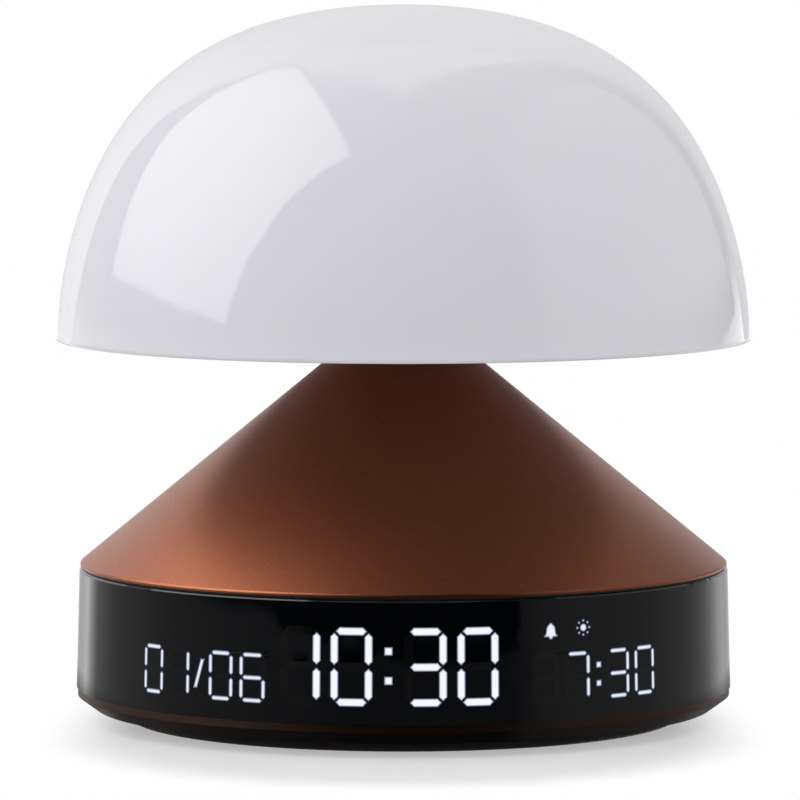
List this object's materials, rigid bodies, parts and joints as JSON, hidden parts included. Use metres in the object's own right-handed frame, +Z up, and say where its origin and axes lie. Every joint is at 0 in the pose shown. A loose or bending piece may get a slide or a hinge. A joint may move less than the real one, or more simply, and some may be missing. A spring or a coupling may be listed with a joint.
{
  "type": "sunrise alarm clock",
  "caption": "Table clock lamp: an opal dome shade on a copper-brown cone over a black display band; the shade presses down to snooze.",
  "frame": {"origin": "middle of the foot's underside, on the table", "axes": "+Z up, the display faces -Y, the buttons and the power socket face +Y"},
  "size_m": [0.1198, 0.1198, 0.1226],
  "materials": {
    "opal_shade": "polished opal moulding",
    "opal_floor": "satin opal moulding",
    "copper_metal": "bead-blasted, anodised copper brown",
    "gloss_black": "polished black",
    "lit_segment": "lit light guide",
    "dark_segment": "unlit light guide, polished black",
    "black_plastic": "finely textured",
    "grey_plastic": "moulded",
    "white_plastic": "self-lubricating, turned",
    "black_rubber": "soft, matte",
    "steel": "zinc plated",
    "spring_steel": "drawn wire",
    "brass": "turned",
    "green_board": "solder mask over glass laminate",
    "white_board": "white solder mask over aluminium",
    "amber_board": "flexible laminate",
    "component_black": "moulded epoxy",
    "lamp_yellow": "phosphor under clear resin",
    "magnet": "ferrite and steel pot",
    "paper_cone": "pressed paper"
  },
  "bodies": {
    "base": {"neck_bush": "black_plastic", "neck_nut": "brass", "cone_shell": "copper_metal", "neck_tower": "grey_plastic", "tower_screws": "steel", "shade_spring": "spring_steel", "snooze_board": "green_board", "snooze_switch": "component_black", "chassis": "grey_plastic", "display_band": "gloss_black", "time_light_guides": "lit_segment", "date_light_guides": "lit_segment", "alarm_light_guides": "lit_segment", "unlit_light_guides": "dark_segment", "segment_mask": "black_plastic", "display_board": "amber_board", "segment_lamps": "lamp_yellow", "band_gasket": "black_rubber", "rear_panel": "black_plastic", "rear_board": "green_board", "rear_board_screws": "steel", "button_switches": "component_black", "usb_socket": "steel", "main_board": "green_board", "main_board_screws": "steel", "board_components": "component_black", "cell_holder": "black_plastic", "backup_cell": "steel", "speaker_gasket": "black_rubber", "speaker_basket": "steel", "speaker_magnet": "magnet", "speaker_cone": "paper_cone", "base_tray": "copper_metal", "foot_ring": "black_rubber", "base_screws": "steel"},
    "shade_head": {"shade": "opal_shade", "shade_floor": "opal_floor", "shade_hub": "white_plastic", "hub_screws": "steel", "hub_clip": "spring_steel", "lamp_board": "white_board", "lamps": "lamp_yellow", "lamp_board_screws": "steel"},
    "button_alarm": {"button_alarm": "black_rubber"},
    "button_minus": {"button_minus": "black_rubber"},
    "button_set": {"button_set": "black_rubber"},
    "button_plus": {"button_plus": "black_rubber"},
    "button_light": {"button_light": "black_rubber"}
  },
  "joints": [
    {"name": "shade_press", "type": "slide", "parent": "base", "child": "shade_head", "axis": [0, 0, -1], "range_m": [0, 0.001], "stiffness_N_per_m": 700, "springref_m": -0.005, "deforming": ["shade_spring"]},
    {"name": "press_alarm", "type": "slide", "parent": "base", "child": "button_alarm", "axis": [0, -1, 0], "range_m": [0, 0.0006], "stiffness_N_per_m": 500, "springref_m": -0.001},
    {"name": "press_minus", "type": "slide", "parent": "base", "child": "button_minus", "axis": [0, -1, 0], "range_m": [0, 0.0006], "stiffness_N_per_m": 500, "springref_m": -0.001},
    {"name": "press_set", "type": "slide", "parent": "base", "child": "button_set", "axis": [0, -1, 0], "range_m": [0, 0.0006], "stiffness_N_per_m": 500, "springref_m": -0.001},
    {"name": "press_plus", "type": "slide", "parent": "base", "child": "button_plus", "axis": [0, -1, 0], "range_m": [0, 0.0006], "stiffness_N_per_m": 500, "springref_m": -0.001},
    {"name": "press_light", "type": "slide", "parent": "base", "child": "button_light", "axis": [0, -1, 0], "range_m": [0, 0.0006], "stiffness_N_per_m": 500, "springref_m": -0.001}
  ]
}
